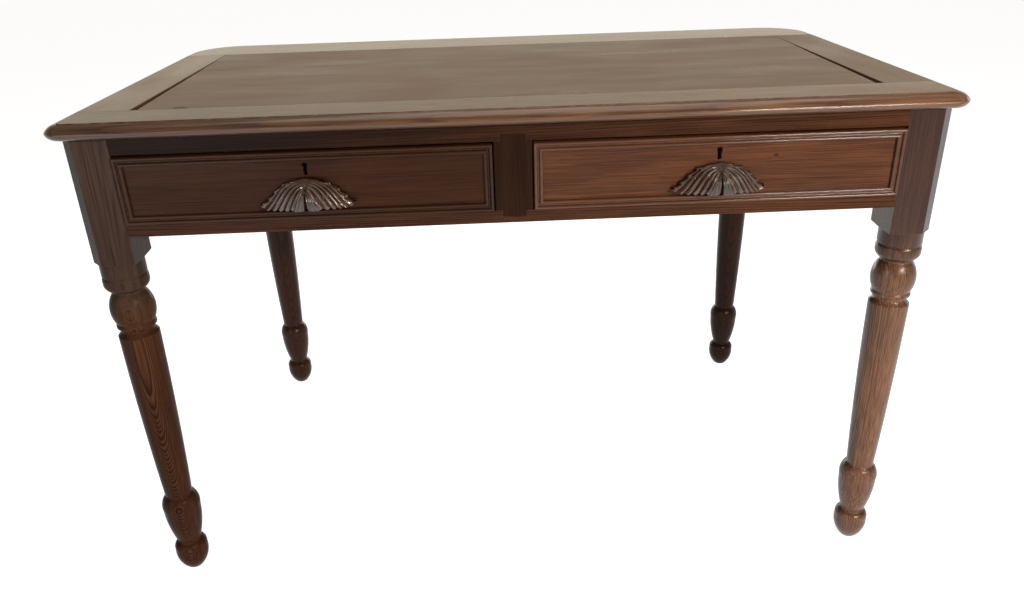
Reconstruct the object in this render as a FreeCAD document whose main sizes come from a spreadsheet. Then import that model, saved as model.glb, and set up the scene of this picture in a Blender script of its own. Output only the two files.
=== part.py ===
import FreeCAD, Part
import math
import os
import re

import Sketcher
from FreeCAD import Rotation, Vector

# A flat-topped writing table with two frieze drawers on four turned legs, in millimetres.
# X runs to the right, Y to the back and Z up. The origin is on the floor, under the middle of the object.

# Driving sizes: name, value and what it measures.
SIZES = [
    ("table_height", 762, "floor to the top's upper face"),
    ("top_width", 1220, "top, left to right over the moulding"),
    ("top_depth", 700, "top, front to back over the moulding"),
    ("top_thickness", 20, "top"),
    ("side_overhang", 16, "top beyond the posts at each end"),
    ("front_overhang", 16, "top beyond the posts at the front"),
    ("rear_overhang", 10, "top beyond the posts at the back"),
    ("strip_width", 88, "front strip and end pieces of the top"),
    ("rear_strip", 132, "rear strip of the top"),
    ("strip_joint", 0.8, "open joint between the field and the strips"),
    ("shrink_gap", 11, "open gap between the field and the end pieces, at the front"),
    ("shrink_rear", 0.8, "the same gap at the back"),
    ("tongue_thickness", 7, "tongue of a field board"),
    ("tongue_length", 12, "tongue inside the end piece"),
    ("moulding_run", 17, "edge moulding of the top, seen from above"),
    ("quirk_depth", 1.2, "small step where the flat meets the moulding"),
    ("nose_height", 8.5, "nose of the moulding above the underside"),
    ("ovolo_radius", 20, "upper curve of the moulding"),
    ("under_run", 7, "undercut of the moulding"),
    ("under_radius", 11, "lower curve of the moulding"),
    ("front_corner", 28, "front corners of the top, seen from above"),
    ("rear_corner", 96, "rear corners of the top, seen from above"),
    ("post_size", 64, "square stock of a leg"),
    ("rear_inset", 64, "rear legs further from the ends of the table than the front legs"),
    ("post_length", 180, "square part of a leg, below the top"),
    ("post_chamfer", 17, "canted outer corner of a leg"),
    ("shoulder_slope", 3, "slope of the turned shoulder under the post"),
    ("neck_radius", 31, "round neck under the post"),
    ("neck_length", 23, "round neck under the post"),
    ("crease_radius", 29.5, "crease above the collar"),
    ("crease_length", 2, "slope into the crease"),
    ("collar_radius", 31.7, "collar"),
    ("collar_rise", 5, "rounded upper part of the collar"),
    ("collar_face", 8, "straight face of the collar"),
    ("collar_fall", 9, "rounded lower part of the collar"),
    ("collar_curve", 8, "radius of the collar's upper curve"),
    ("collar_under", 14, "radius of the collar's lower curve"),
    ("throat_radius", 22.5, "throat between the collar and the ball"),
    ("throat_length", 4, "throat between the collar and the ball"),
    ("fillet_width", 3, "fillet under the collar, beyond the throat"),
    ("fillet_height", 1.5, "fillet under the collar"),
    ("ball_length", 49, "ball"),
    ("ball_curve", 46, "radius of the ball's outline"),
    ("ball_seat", 26.5, "radius where the ball meets the ring"),
    ("ring_radius", 28, "ring under the ball"),
    ("ring_length", 8, "ring under the ball"),
    ("ring_round", 2.5, "rounded upper edge of the ring"),
    ("ring_under", 2, "rounded lower edge of the ring"),
    ("cove_radius", 22.5, "waist of the cove under the ring"),
    ("cove_length", 7, "cove under the ring"),
    ("cove_lip", 1, "upper edge of the cove, beyond its waist"),
    ("cove_flare", 2, "lower edge of the cove, beyond its waist"),
    ("shaft_top", 29, "radius of the shaft at its top"),
    ("shaft_shoulder", 5, "bevelled shoulder of the shaft"),
    ("shaft_foot", 21, "radius of the shaft at its foot"),
    ("shaft_swell", 7200, "radius of the shaft's gentle swell"),
    ("groove_height", 148, "groove at the shaft's foot, above the floor"),
    ("groove_radius", 20, "groove at the shaft's foot"),
    ("groove_length", 3, "groove at the shaft's foot"),
    ("bulb_shoulder", 24, "radius of the bulb at its upper edge"),
    ("bulb_radius", 29, "bulb at its widest"),
    ("bulb_height", 122, "widest part of the bulb above the floor"),
    ("bulb_round", 30, "radius of the bulb's shoulder curve"),
    ("bulb_curve", 220, "radius of the bulb's long curve"),
    ("ankle_radius", 18, "ankle under the bulb"),
    ("ankle_height", 56, "ankle above the floor"),
    ("ankle_length", 2, "straight part of the ankle"),
    ("knob_slope", 2, "slope from the ankle to the foot knob"),
    ("knob_shoulder", 21.5, "radius of the foot knob at its upper edge"),
    ("knob_radius", 25.5, "foot knob at its widest"),
    ("knob_height", 40, "widest part of the foot knob above the floor"),
    ("knob_round", 13, "radius of the knob's upper curve"),
    ("toe_radius", 12.5, "flat toe on the floor"),
    ("toe_curve", 48, "radius of the toe's outline"),
    ("top_rail", 24, "front rail above the drawers"),
    ("opening_height", 96, "drawer openings"),
    ("bottom_rail", 18, "front rail below the drawers"),
    ("tail_length", 24, "dovetail of the top rail in the post"),
    ("tail_root", 30, "dovetail of the top rail at its narrow end"),
    ("tail_flare", 6, "dovetail of the top rail, spread on each side"),
    ("tenon_length", 24, "tenons of the rails and aprons"),
    ("tenon_thickness", 10, "tenons of the rails and aprons"),
    ("tenon_shoulder", 16, "apron beyond its tenon, above and below"),
    ("stile_width", 52, "stile between the drawers"),
    ("stile_depth", 30, "stile between the drawers, front to back"),
    ("stub_length", 9, "stub tenons of the stile"),
    ("stub_shoulder", 10, "stile beyond its stub tenons on each side"),
    ("apron_thickness", 18, "aprons"),
    ("apron_reveal", 2, "aprons set back from the faces of the posts"),
    ("runner_width", 26, "runner inside the post's inner face"),
    ("centre_runner", 110, "runner between the drawers"),
    ("guide_height", 28, "drawer guides"),
    ("guide_rear", 3, "side guide, across, at its rear end"),
    ("centre_kicker", 90, "kicker between the drawers"),
    ("stop_length", 44, "drawer stop, left to right"),
    ("stop_depth", 18, "drawer stop, front to back"),
    ("stop_height", 6, "drawer stop"),
    ("stop_inset", 60, "drawer stop from the end of the drawer"),
    ("running_gap", 0.3, "between a drawer and what it runs on or meets"),
    ("side_gap", 1.5, "between a drawer and its opening at each side"),
    ("upper_gap", 2.5, "between a drawer and the rail above"),
    ("front_thickness", 22, "drawer front"),
    ("side_thickness", 10, "drawer sides"),
    ("side_drop", 4, "drawer sides below the upper edge of the front"),
    ("back_thickness", 10, "drawer back"),
    ("back_drop", 10, "drawer back below the upper edge of the sides"),
    ("lap_thickness", 6, "drawer front over the ends of the dovetails"),
    ("drawer_pin", 7, "pin between two drawer dovetails at its narrow end"),
    ("drawer_flare", 2.2, "drawer dovetail, spread on each side"),
    ("bottom_thickness", 6, "drawer bottom"),
    ("bottom_height", 11, "drawer bottom above the drawer's lower edge"),
    ("bottom_groove", 5, "drawer bottom in its grooves"),
    ("bead_width", 12, "applied moulding of a drawer front"),
    ("bead_height", 5, "applied moulding, proud of the drawer front"),
    ("bead_chord", 4.6, "each of the moulding's two beads, across"),
    ("bead_rise", 2.1, "each of the moulding's two beads, above its root"),
    ("bead_root", 1.6, "moulding in the hollow between its beads"),
    ("bead_quirk", 0.6, "slope from a bead into the hollow"),
    ("keyhole_drop", 20, "keyhole below the upper edge of the drawer front"),
    ("keyhole_radius", 4, "round of the keyhole"),
    ("keyhole_slot", 5.2, "slot of the keyhole, across"),
    ("keyhole_length", 13.2, "slot of the keyhole below the round's middle"),
    ("lock_width", 56, "lock case"),
    ("lock_height", 34, "lock case"),
    ("lock_depth", 11, "lock case, let into the drawer front"),
    ("bolt_width", 24, "lock bolt"),
    ("bolt_thickness", 5, "lock bolt"),
    ("bolt_length", 26, "lock bolt"),
    ("bolt_throw", 8, "travel of the lock bolt"),
    ("bolt_gap", 0.3, "around the lock bolt"),
    ("bolt_room", 2, "keep in the rail beyond the raised bolt"),
    ("pull_width", 130, "carved pull over the leaf tips"),
    ("pull_lift", 5, "pull above the lower moulding"),
    ("pull_gap", 2.4, "between the keyhole and the pull"),
    ("pull_projection", 28, "pull in front of the posts"),
    ("shoulder_reach", 40, "shoulder of a leaf from the middle of the pull"),
    ("shoulder_drop", 10, "shoulder of a leaf below the top of the pull"),
    ("pull_arch", 105, "radius of the leaves' upper outline"),
    ("tip_flick", 70, "radius of the hollow outline towards the leaf tips"),
    ("tip_rise", 2.5, "leaf tips above the pull's lower edge"),
    ("tip_thickness", 7, "leaf tips, front to back"),
    ("lobe_rise", 3.5, "scallops of the leaves' lower outline"),
    ("cleft_height", 21, "cleft between the leaves"),
    ("cleft_width", 8, "cleft between the leaves at the bottom"),
    ("pull_wall", 8, "wall of a leaf in front of the fingers"),
    ("pull_pad", 14, "height of the pad that is screwed on"),
    ("leaf_fall", 34, "radius of the leaves' outline, seen from the side"),
    ("leaf_brow", 7, "leaves' foremost edge above the pull's lower edge"),
    ("hollow_half", 44, "half length of the finger hollow"),
    ("hollow_lip", 2, "upright edge of the finger hollow, above the pull's lower edge"),
    ("screw_spread", 44, "between the two pull screws"),
    ("screw_drop", 7, "pull screws below the top of the pull"),
    ("screw_radius", 2, "shank of a screw"),
    ("screw_grip", 10, "pull screw inside the pull"),
    ("screw_gap", 0.2, "around the shank of a screw"),
    ("head_radius", 4.2, "head of a screw"),
    ("head_height", 2.6, "head of a screw"),
    ("top_screw_grip", 14, "top screw inside the top"),
    ("top_screw_sink", 6, "head of a top screw inside its kicker"),
    ("top_screw_inset", 90, "top screw from the end of its kicker"),
    ("button_length", 44, "wooden button, left to right"),
    ("button_depth", 32, "wooden button, front to back"),
    ("button_height", 16, "wooden button"),
    ("button_spread", 250, "between the two middle wooden buttons"),
    ("button_inset", 91, "last wooden button from its rear post"),
    ("cut_over", 1, "how far a cutter passes the face it starts from"),
]

# Places worked out from the driving sizes. A drawer's own places are measured from its lower front middle.
PLACES = {
    "shift": "(pull_projection - front_overhang) / 2",
    "underside": "table_height - top_thickness",
    "top_front": "shift - top_depth / 2",
    "top_rear": "shift + top_depth / 2",
    "ends_front": "top_front + strip_width",
    "ends_rear": "top_rear - rear_strip",
    "field_front": "ends_front + strip_joint",
    "field_half": "top_width / 2 - strip_width - shrink_gap",
    "field_spread": "(shrink_gap - shrink_rear) / 3",
    "board_depth": "(ends_rear - ends_front - 2 * strip_joint) / 3",
    "outer": "top_width / 2 - side_overhang",
    "inner": "outer - post_size",
    "post_axis": "outer - post_size / 2",
    "front": "top_front + front_overhang",
    "back": "top_rear - rear_overhang",
    "front_axis": "front + post_size / 2",
    "back_axis": "back - post_size / 2",
    "rail_back": "front + post_size",
    "rear_post": "back - post_size",
    "rear_axis": "post_axis - rear_inset",
    "rear_inner": "inner - rear_inset",
    "opening_top": "underside - top_rail",
    "runner_top": "opening_top - opening_height",
    "frieze_foot": "runner_top - bottom_rail",
    "apron_out": "outer - apron_reveal",
    "apron_in": "apron_out - apron_thickness",
    "apron_lean": "rear_inset / (rear_post - rail_back)",
    "apron_back": "back - apron_reveal",
    "apron_front": "apron_back - apron_thickness",
    "post_foot": "underside - post_length",
    "neck_foot": "post_foot - neck_length",
    "collar_upper": "neck_foot - collar_rise",
    "collar_lower": "collar_upper - collar_face",
    "collar_foot": "collar_lower - collar_fall",
    "ball_upper": "collar_foot - throat_length",
    "ball_lower": "ball_upper - ball_length",
    "ring_lower": "ball_lower - ring_length",
    "cove_lower": "ring_lower - cove_length",
    "shaft_upper": "cove_lower - shaft_shoulder",
    "drawer_width": "inner - stile_width / 2 - 2 * side_gap",
    "drawer_length": "(apron_in - inner - guide_rear) / apron_lean + post_size",
    "drawer_end": "front + drawer_length",
    "drawer_height": "opening_height - running_gap - upper_gap",
    "drawer_middle": "(inner + stile_width / 2) / 2",
    "drawer_floor": "runner_top + running_gap",
    "side_height": "drawer_height - side_drop",
    "bottom_top": "bottom_height + bottom_thickness",
    "lock_foot": "drawer_height - lock_height",
    "lock_front": "front_thickness - lock_depth",
    "bolt_front": "lock_front + (lock_depth - bolt_thickness) / 2",
    "keyhole_height": "drawer_height - keyhole_drop",
    "pull_top": "keyhole_height - keyhole_length - pull_gap",
    "pull_foot": "bead_width + pull_lift",
    "pull_height": "pull_top - pull_foot",
    "lobe_chord": "(pull_width - cleft_width) / 6",
    "screw_height": "pull_top - screw_drop",
}

NAMES = {name for name, value, note in SIZES}

doc = FreeCAD.newDocument("writing_table")
sheet = doc.addObject("Spreadsheet::Sheet", "sizes")
for row, (name, value, note) in enumerate(SIZES, 1):
    sheet.set(f"A{row}", name)
    sheet.set(f"B{row}", str(value))
    sheet.set(f"C{row}", note)
    sheet.setAlias(f"B{row}", name)
doc.recompute()

nodes = []


def spell(text):
    """Write an expression of sizes and places out in cells of the sheet."""
    def word(match):
        name = match.group(0)
        if name in PLACES:
            return f"({spell(PLACES[name])})"
        return f"sizes.{name}" if name in NAMES else name
    return re.sub(r"[a-z][a-z_]*", word, text)


def value_of(text):
    return float(sheet.evalExpression(spell(text)))


def seat(item, x="0", y="0", z="0"):
    """Put a piece's own origin at a place of the table."""
    for axis, text in (("x", x), ("y", y), ("z", z)):
        item.setExpression(f"Placement.Base.{axis}", spell(text))
    return item


def keep(item, label):
    """Name a finished piece, which then has a file of its own."""
    item.Label = label
    nodes.append(item)
    return item


def board(x, y, z):
    """A rectangular board between two limits along each axis."""
    item = doc.addObject("Part::Box", "board")
    for size, (low, high) in zip(("Length", "Width", "Height"), (x, y, z)):
        item.setExpression(size, spell(f"({high}) - ({low})"))
    return seat(item, x[0], y[0], z[0])


def rod(radius, length, x, y, z, turn=None):
    """A round bar that stands up from its lower end, or lies along the turned axis."""
    item = doc.addObject("Part::Cylinder", "rod")
    item.setExpression("Radius", spell(radius))
    item.setExpression("Height", spell(length))
    if turn:
        item.Placement.Rotation = turn
    return seat(item, x, y, z)


def join(items):
    item = doc.addObject("Part::MultiFuse", "joined")
    item.Shapes = items
    return item


def gather(items):
    """Separate like pieces kept together."""
    item = doc.addObject("Part::Compound", "group")
    item.Links = items
    return item


def cut(base, tools):
    item = doc.addObject("Part::Cut", "cut")
    item.Base = base
    item.Tool = tools[0] if len(tools) == 1 else join(tools)
    return item


def common(base, tool):
    item = doc.addObject("Part::Common", "common")
    item.Base = base
    item.Tool = tool
    return item


def arc_between(start, end, radius, side):
    """The shorter arc from start to end, bulging to the left of that way for side 1, or right for -1."""
    chord = end - start
    middle = (start + end) / 2
    left = Vector(-chord.y, chord.x, 0).normalize()
    rise = radius - math.sqrt(max(radius ** 2 - chord.Length ** 2 / 4, 0))
    return Part.Arc(start, middle + left * side * rise, end)


def sketch(body, role, outline):
    """A closed outline on one of the body's own planes.

    Each corner is (across, up), or (across, up, radius, side) where an arc runs from it to the next corner.
    """
    plane = next(item for item in body.Origin.OriginFeatures if item.Role == role)
    item = body.newObject("Sketcher::SketchObject", "outline")
    item.AttachmentSupport = [(plane, "")]
    item.MapMode = "FlatFace"
    spots = [Vector(value_of(corner[0]), value_of(corner[1]), 0) for corner in outline]
    edges = []
    starts = []
    for index, corner in enumerate(outline):
        ends = spots[index], spots[(index + 1) % len(outline)]
        if len(corner) == 2:
            edges.append(item.addGeometry(Part.LineSegment(*ends), False))
            starts.append((1, 2))
        else:
            edges.append(item.addGeometry(arc_between(*ends, value_of(corner[2]), corner[3]), False))
            starts.append((2, 1) if corner[3] > 0 else (1, 2))
    for index, corner in enumerate(outline):
        after = (index + 1) % len(outline)
        meeting = edges[index], starts[index][1], edges[after], starts[after][0]
        item.addConstraint(Sketcher.Constraint("Coincident", *meeting))
        spot = edges[index], starts[index][0]
        for kind, text in (("DistanceX", corner[0]), ("DistanceY", corner[1])):
            number = item.addConstraint(Sketcher.Constraint(kind, -1, 1, *spot, value_of(text)))
            item.setExpression(f"Constraints[{number}]", spell(text))
        if len(corner) == 4:
            number = item.addConstraint(Sketcher.Constraint("Radius", edges[index], value_of(corner[2])))
            item.setExpression(f"Constraints[{number}]", spell(corner[2]))
    return item


def padded(role, outline, length):
    """A solid of one outline, which grows from its plane along +X, +Y or +Z."""
    body = doc.addObject("PartDesign::Body", "body")
    profile = sketch(body, role, outline)
    pad = body.newObject("PartDesign::Pad", "pad")
    pad.Profile = profile
    pad.setExpression("Length", spell(length))
    pad.Reversed = role == "XZ_Plane"
    return body


def turned(outline):
    """A solid of one outline turned about Z."""
    body = doc.addObject("PartDesign::Body", "body")
    profile = sketch(body, "XZ_Plane", outline)
    revolution = body.newObject("PartDesign::Revolution", "turning")
    revolution.Profile = profile
    revolution.ReferenceAxis = (profile, ["V_Axis"])
    return body


def turned_outline():
    """Waste round a turned leg: in at the post's foot, down the turned outline and back up outside it."""
    return [
        ("post_size", "post_foot + shoulder_slope"),
        ("neck_radius", "post_foot"),
        ("neck_radius", "neck_foot + crease_length"),
        ("crease_radius", "neck_foot", "collar_curve", 1),
        ("collar_radius", "collar_upper"),
        ("collar_radius", "collar_lower", "collar_under", 1),
        ("throat_radius + fillet_width", "collar_foot"),
        ("throat_radius", "collar_foot - fillet_height"),
        ("throat_radius", "ball_upper", "ball_curve", 1),
        ("ball_seat", "ball_lower", "ring_length", 1),
        ("ring_radius", "ball_lower - ring_round"),
        ("ring_radius", "ring_lower + ring_under", "ring_length", 1),
        ("cove_radius + cove_lip", "ring_lower", "cove_length", -1),
        ("cove_radius + cove_flare", "cove_lower"),
        ("shaft_top", "shaft_upper", "shaft_swell", 1),
        ("shaft_foot", "groove_height + groove_length"),
        ("groove_radius", "groove_height"),
        ("bulb_shoulder", "groove_height - groove_length", "bulb_round", 1),
        ("bulb_radius", "bulb_height", "bulb_curve", 1),
        ("ankle_radius", "ankle_height"),
        ("ankle_radius", "ankle_height - ankle_length"),
        ("knob_shoulder", "ankle_height - ankle_length - knob_slope", "knob_round", 1),
        ("knob_radius", "knob_height", "toe_curve", 1),
        ("toe_radius", "0"),
        ("post_size", "0"),
    ]


def leg_blank(side, end):
    """A stick with one chamfered corner, turned below its post. Side and end are -1 or 1 along X and Y."""
    half = "post_size / 2"
    cut_back = "(post_size / 2 - post_chamfer)"
    body = doc.addObject("PartDesign::Body", "leg_body")
    corners = [
        (f"{-side} * {half}", f"{-end} * {half}"),
        (f"{side} * {half}", f"{-end} * {half}"),
        (f"{side} * {half}", f"{end} * {cut_back}"),
        (f"{side} * {cut_back}", f"{end} * {half}"),
        (f"{-side} * {half}", f"{end} * {half}"),
    ]
    pad = body.newObject("PartDesign::Pad", "stick")
    pad.Profile = sketch(body, "XY_Plane", corners)
    pad.setExpression("Length", spell("underside"))
    doc.recompute()
    stick = body.Shape.Volume
    groove = body.newObject("PartDesign::Groove", "turning")
    groove.Profile = sketch(body, "XZ_Plane", turned_outline())
    groove.ReferenceAxis = (groove.Profile[0], ["V_Axis"])
    doc.recompute()
    assert body.Shape.Volume < 0.9 * stick, "the turning removed nothing"
    if end < 0:
        return seat(body, f"{side} * post_axis", "front_axis")
    return seat(body, f"{side} * rear_axis", "back_axis")


def edge_moulding(outside, inward):
    """Corners of the top's moulded edge, from the flat down to the underside, for an edge at a place."""
    side = 1 if inward == "+" else -1
    return [
        (f"{outside} {inward} moulding_run", "top_thickness"),
        (f"{outside} {inward} moulding_run", "top_thickness - quirk_depth", "ovolo_radius", -side),
        (f"{outside}", "nose_height", "under_radius", -side),
        (f"{outside} {inward} under_run", "0"),
    ]


def top_strip(width, corner):
    """A strip over the whole width of the top, moulded on three edges, with its long edge along Y 0."""
    half = "top_width / 2"
    right = edge_moulding(half, "-")
    left = [(f"-({spot[0]})", *spot[1:2]) for spot in reversed(right)]
    left[0] += ("under_radius", 1)
    left[1] += ("ovolo_radius", 1)
    across = seat(padded("XZ_Plane", right + left, f"{width} - {corner}"), "0", corner)
    lip = edge_moulding("0", "+") + [(width, "0"), (width, "top_thickness")]
    along = seat(padded("YZ_Plane", lip, f"top_width - 2 * {corner}"), f"-({half} - {corner})")
    round_edge = edge_moulding(corner, "-") + [("0", "0"), ("0", "top_thickness")]
    ends = []
    for sign in (-1, 1):
        middle = f"{sign} * ({half} - {corner})"
        limits = sorted((middle, f"{sign} * {half}"), key=value_of)
        quarter = board(limits, ("0", corner), ("0", "top_thickness"))
        ends.append(common(seat(turned(round_edge), middle, corner), quarter))
    return join([across, along] + ends)


def make_top():
    """A frame of moulded strips round a field of boards, which are tongued into the end pieces."""
    front = top_strip("strip_width", "front_corner")
    keep(seat(front, "0", "top_front", "underside"), "top_front_strip")
    rear = top_strip("rear_strip", "rear_corner")
    rear.Placement.Rotation = Rotation(Vector(0, 0, 1), 180)
    keep(seat(rear, "0", "top_rear", "underside"), "top_rear_strip")

    tip = "(top_width / 2 - strip_width + tongue_length)"
    tongue = ("(top_thickness - tongue_thickness) / 2", "(top_thickness + tongue_thickness) / 2")
    boards = []
    for number in range(3):
        near = f"(field_half + {number} * field_spread)"
        far = f"(field_half + {number + 1} * field_spread)"
        outline = [(f"-{near}", "0"), (near, "0"), (far, "board_depth"), (f"-{far}", "board_depth")]
        plank = padded("XY_Plane", outline, "top_thickness")
        tongued = join([plank, board((f"-{tip}", tip), ("0", "board_depth"), tongue)])
        boards.append(seat(tongued, "0", f"field_front + {number} * board_depth", "underside"))
    for side, inward, name in ((-1, "+", "left"), (1, "-", "right")):
        profile = edge_moulding(f"{side} * strip_width", inward) + [("0", "0"), ("0", "top_thickness")]
        end = padded("XZ_Plane", profile, "ends_rear - ends_front")
        seat(end, f"{side} * (top_width / 2 - strip_width)", "ends_front", "underside")
        bores = [bore for across, bore, along in screw_holes if value_of(across) * side > 0]
        keep(cut(end, boards + bores), f"top_end_{name}")
    middle = [(bore, along) for across, bore, along in screw_holes if value_of(across) == 0]
    for number, name in enumerate(("front", "middle", "rear")):
        bores = [bore for bore, along in middle if in_board(along, number)]
        keep(cut(boards[number], bores) if bores else boards[number], f"top_board_{name}")


def in_board(place, number):
    """Whether a place along Y lies in one of the field boards."""
    return int(value_of(f"({place} - (field_front)) / (board_depth)")) == number


def make_front():
    """Two rails and the stile between the drawers, cut for each other and for the lock bolts."""
    half = "post_size / 2"
    narrow = "tail_root / 2"
    wide = "(tail_root / 2 + tail_flare)"
    reach = "(inner + tail_length)"
    tailed = [
        ("-inner", "0"), ("inner", "0"), ("inner", f"{half} - {narrow}"), (reach, f"{half} - {wide}"),
        (reach, f"{half} + {wide}"), ("inner", f"{half} + {narrow}"), ("inner", "post_size"),
        ("-inner", "post_size"), ("-inner", f"{half} + {narrow}"), (f"-{reach}", f"{half} + {wide}"),
        (f"-{reach}", f"{half} - {wide}"), ("-inner", f"{half} - {narrow}"),
    ]
    upper = seat(padded("XY_Plane", tailed, "top_rail"), "0", "front", "opening_top")

    steps = ["post_size / 5", "2 * post_size / 5", "3 * post_size / 5", "4 * post_size / 5"]
    reach = "(inner + tenon_length)"
    right = [("inner", "0")]
    for near, far in ((steps[0], steps[1]), (steps[2], steps[3])):
        right += [("inner", near), (reach, near), (reach, far), ("inner", far)]
    right.append(("inner", "post_size"))
    left = [(f"-{across}", along) for across, along in reversed(right)]
    lower = seat(padded("XY_Plane", right + left, "bottom_rail"), "0", "front", "frieze_foot")

    side = "stile_width / 2"
    stub = "(stile_width / 2 - stub_shoulder)"
    stubbed = [
        (f"-{side}", "0"), (f"-{stub}", "0"), (f"-{stub}", "-stub_length"), (stub, "-stub_length"),
        (stub, "0"), (side, "0"), (side, "opening_height"), (stub, "opening_height"),
        (stub, "opening_height + stub_length"), (f"-{stub}", "opening_height + stub_length"),
        (f"-{stub}", "opening_height"), (f"-{side}", "opening_height"),
    ]
    stile = seat(padded("XZ_Plane", stubbed, "stile_depth"), "0", "front", "runner_top")

    keeps = []
    for side in (-1, 1):
        reach = [f"{side} * drawer_middle {sign} (bolt_width / 2 + bolt_gap)" for sign in "-+"]
        depth = ("front + bolt_front - bolt_gap", "front + bolt_front + bolt_thickness + bolt_gap")
        rise = ("opening_top - cut_over", "drawer_floor + drawer_height + bolt_throw + bolt_room")
        keeps.append(board(reach, depth, rise))
    keep(cut(upper, [stile] + keeps), "front_top_rail")
    keep(cut(lower, [stile]), "front_bottom_rail")
    keep(stile, "front_centre_stile")
    return upper, lower


def slanted(side, near, far, along, rise, straight=False):
    """A board at an end of the table that leans in with the rear legs, or keeps its inner edge straight."""
    corners = []
    for place, ways in ((near, along), (far, reversed(along))):
        for way in ways:
            lean = "0" if straight and place == near else f"apron_lean * ({way} - rail_back)"
            corners.append((f"{side} * ({place} - {lean})", way))
    return seat(padded("XY_Plane", corners, f"{rise[1]} - ({rise[0]})"), "0", "0", rise[0])


def make_aprons():
    """Boards between the posts, with a tenon at each end. Those at the ends lean in to the rear."""
    low = "tenon_shoulder"
    high = "(underside - frieze_foot - tenon_shoulder)"
    inset = "(apron_thickness - tenon_thickness) / 2"
    full = ("frieze_foot", "underside")
    rise = (f"frieze_foot + {low}", f"frieze_foot + {high}")
    aprons = {}
    for side, name in ((-1, "left"), (1, "right")):
        panel = slanted(side, "apron_in", "apron_out", ("rail_back", "rear_post"), full)
        reach = ("rail_back - tenon_length", "rear_post + tenon_length")
        tenon = slanted(side, f"apron_in + {inset}", f"apron_out - {inset}", reach, rise)
        aprons[name] = keep(join([panel, tenon]), f"end_apron_{name}")
    panel = board(("-rear_inner", "rear_inner"), ("apron_front", "apron_back"), full)
    thin = (f"apron_front + {inset}", f"apron_back - {inset}")
    tenon = board(("-rear_inner - tenon_length", "rear_inner + tenon_length"), thin, rise)
    aprons["back"] = keep(join([panel, tenon]), "back_apron")
    return aprons


def make_legs(rails, aprons):
    """Four legs with the mortises that the rails and aprons fill."""
    for side, across in ((-1, "left"), (1, "right")):
        fillers = [*rails, aprons[across]]
        keep(cut(leg_blank(side, -1), fillers), f"leg_front_{across}")
        keep(cut(leg_blank(side, 1), [aprons[across], aprons["back"]]), f"leg_rear_{across}")


def countersunk_screw(x, y, z, length):
    """A screw whose head lies below its shank, standing up from z."""
    head = doc.addObject("Part::Cone", "head")
    head.setExpression("Radius1", spell("head_radius"))
    head.setExpression("Radius2", spell("screw_radius"))
    head.setExpression("Height", spell("head_height"))
    return join([seat(head, x, y, z), rod("screw_radius", length, x, y, z)])


def make_carcase_strips():
    """Runners under the drawers, guides beside and kickers above them, and the screws that hold the top."""
    depth = ("rail_back", "drawer_end")
    long_depth = ("rail_back", "apron_front")
    floor = ("frieze_foot", "runner_top")
    wall = ("runner_top", "runner_top + guide_height")
    roof = ("opening_top", "underside")
    screws = []
    holes = []
    for side, name in ((-1, "left"), (0, "centre"), (1, "right")):
        places = ["rail_back + top_screw_inset"]
        if side:
            shelf = (side, "inner - runner_width", "apron_in", depth)
            fence = (side, "inner + running_gap", "apron_in", depth)
            kicker = slanted(*shelf, roof, True)
            keep(slanted(*shelf, floor, True), f"runner_{name}")
            keep(slanted(*fence, wall, True), f"guide_{name}")
        else:
            fence = ("-stile_width / 2", "stile_width / 2")
            kicker = board(("-centre_kicker / 2", "centre_kicker / 2"), long_depth, roof)
            keep(board(("-centre_runner / 2", "centre_runner / 2"), long_depth, floor), "runner_centre")
            keep(board(fence, ("front + stile_depth", "apron_front"), wall), "guide_centre")
            places.append("rear_post - top_screw_inset")
        spot = f"{side} * (inner + apron_in) / 2"
        bores = []
        for along in places:
            start = "opening_top + top_screw_sink"
            length = "underside - opening_top - top_screw_sink + top_screw_grip"
            screws.append(countersunk_screw(spot, along, start, length))
            bore = rod("screw_radius + screw_gap", f"{length} + cut_over", spot, along, start)
            sunk = "top_screw_sink + head_height"
            sink = rod("head_radius + screw_gap", sunk, spot, along, "opening_top")
            bores += [bore, sink]
            holes.append((spot, bore, along))
        keep(cut(kicker, bores), f"kicker_{name}")
    keep(gather(screws), "top_screws")
    return holes


def make_small_blocks():
    """Stops that meet the drawer fronts, and buttons that hold the top to the back apron."""
    stops = []
    for side in (-1, 1):
        for sign in (-1, 1):
            middle = f"({side} * drawer_middle + {sign} * (drawer_width / 2 - stop_inset))"
            across = (f"{middle} - stop_length / 2", f"{middle} + stop_length / 2")
            near = "front + front_thickness + running_gap"
            depth = (near, f"{near} + stop_depth")
            stops.append(board(across, depth, ("runner_top", "runner_top + stop_height")))
    keep(gather(stops), "drawer_stops")
    buttons = []
    last = "(rear_inner - button_inset)"
    for middle in (f"-1 * {last}", "-0.5 * button_spread", "0.5 * button_spread", last):
        across = [f"{middle} {sign} button_length / 2" for sign in "-+"]
        depth = ("apron_front - button_depth", "apron_front")
        buttons.append(board(across, depth, ("underside - button_height", "underside")))
    keep(gather(buttons), "top_buttons")


def side_outline():
    """A drawer side seen from its end of the drawer: three dovetails at the front and three at the back."""
    def tails(low, high, root, end, count=3):
        corners = []
        pitch = f"(({high} - ({low})) / {count})"
        wide = f"({pitch} - drawer_pin) / 2"
        narrow = f"({wide} - drawer_flare)"
        for number in range(count):
            middle = f"({low} + {number + 0.5} * {pitch})"
            corners += [(root, f"{middle} - {narrow}"), (end, f"{middle} - {wide}")]
            corners += [(end, f"{middle} + {wide}"), (root, f"{middle} + {narrow}")]
        return corners
    front = tails("0", "side_height", "front_thickness", "lap_thickness")
    back = tails("bottom_top", "side_height - back_drop", "drawer_length - back_thickness", "drawer_length")
    heel = "drawer_length - back_thickness"
    corners = [("front_thickness", "0"), (heel, "0")] + back
    corners += [(heel, "side_height"), ("front_thickness", "side_height")]
    return corners + list(reversed(front))


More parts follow.
